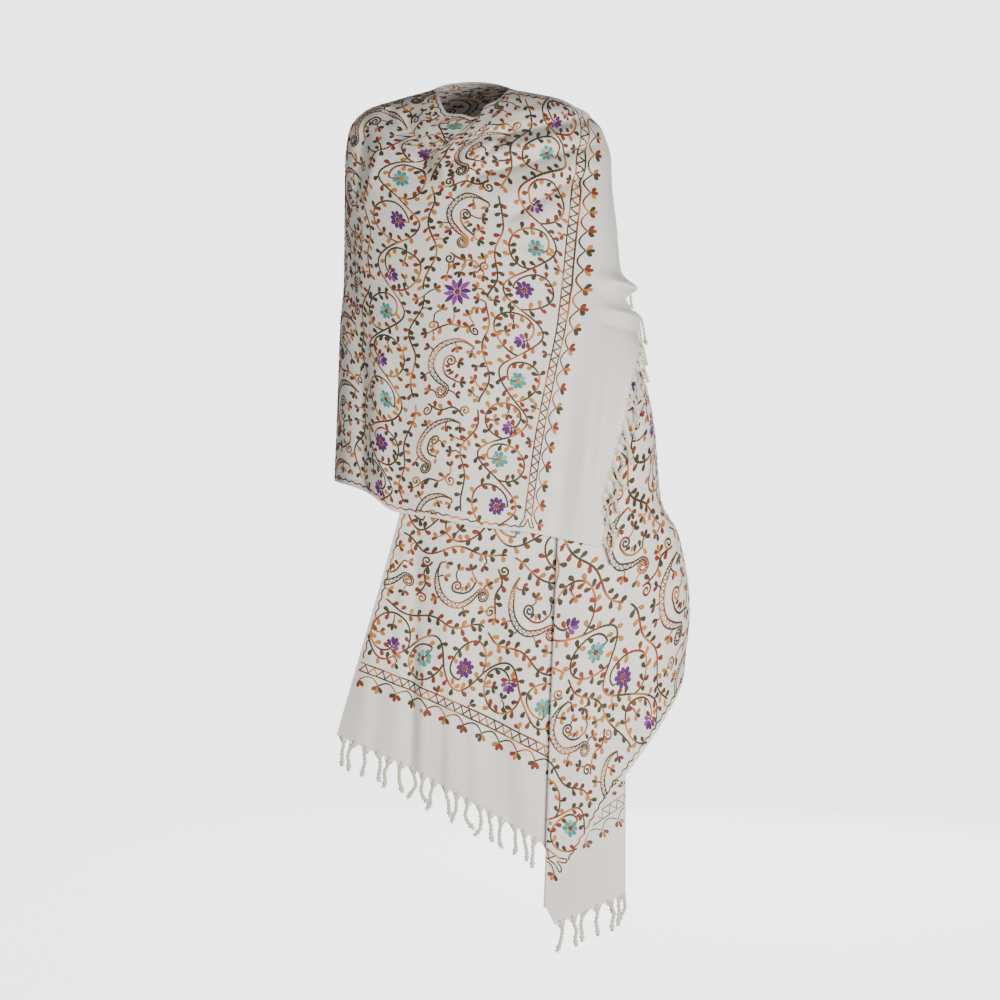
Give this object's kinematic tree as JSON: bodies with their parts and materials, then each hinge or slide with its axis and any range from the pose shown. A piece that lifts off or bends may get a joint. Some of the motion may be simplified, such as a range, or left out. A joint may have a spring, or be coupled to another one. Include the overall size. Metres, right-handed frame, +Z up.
{
  "type": "embroidered shawl, draped as worn",
  "caption": "Long rectangular wool shawl with floral vine embroidery and knotted fringe, wound over both shoulders and falling in front in a deep pleat.",
  "frame": {"origin": "the base of the wearer's neck, between the shoulders", "axes": "+Z up, the front of the shawl faces -Y, +X towards the shoulder that both ends pass over"},
  "size_m": [0.5684, 0.2774, 1.381],
  "materials": {
    "embroidered_wool": "fine cream wool with coloured hook embroidery",
    "plain_wool": "fine cream wool, plain",
    "fringe_wool": "twisted cream wool yarn"
  },
  "bodies": {
    "root": {"front_wrap": "embroidered_wool", "front_end": "plain_wool", "front_end_fringe": "fringe_wool", "back_wrap": "embroidered_wool", "fall_panel": "embroidered_wool", "fall_return": "embroidered_wool", "fall_front": "embroidered_wool", "fall_panel_fringe": "fringe_wool", "fall_return_fringe": "fringe_wool"}
  },
  "joints": []
}
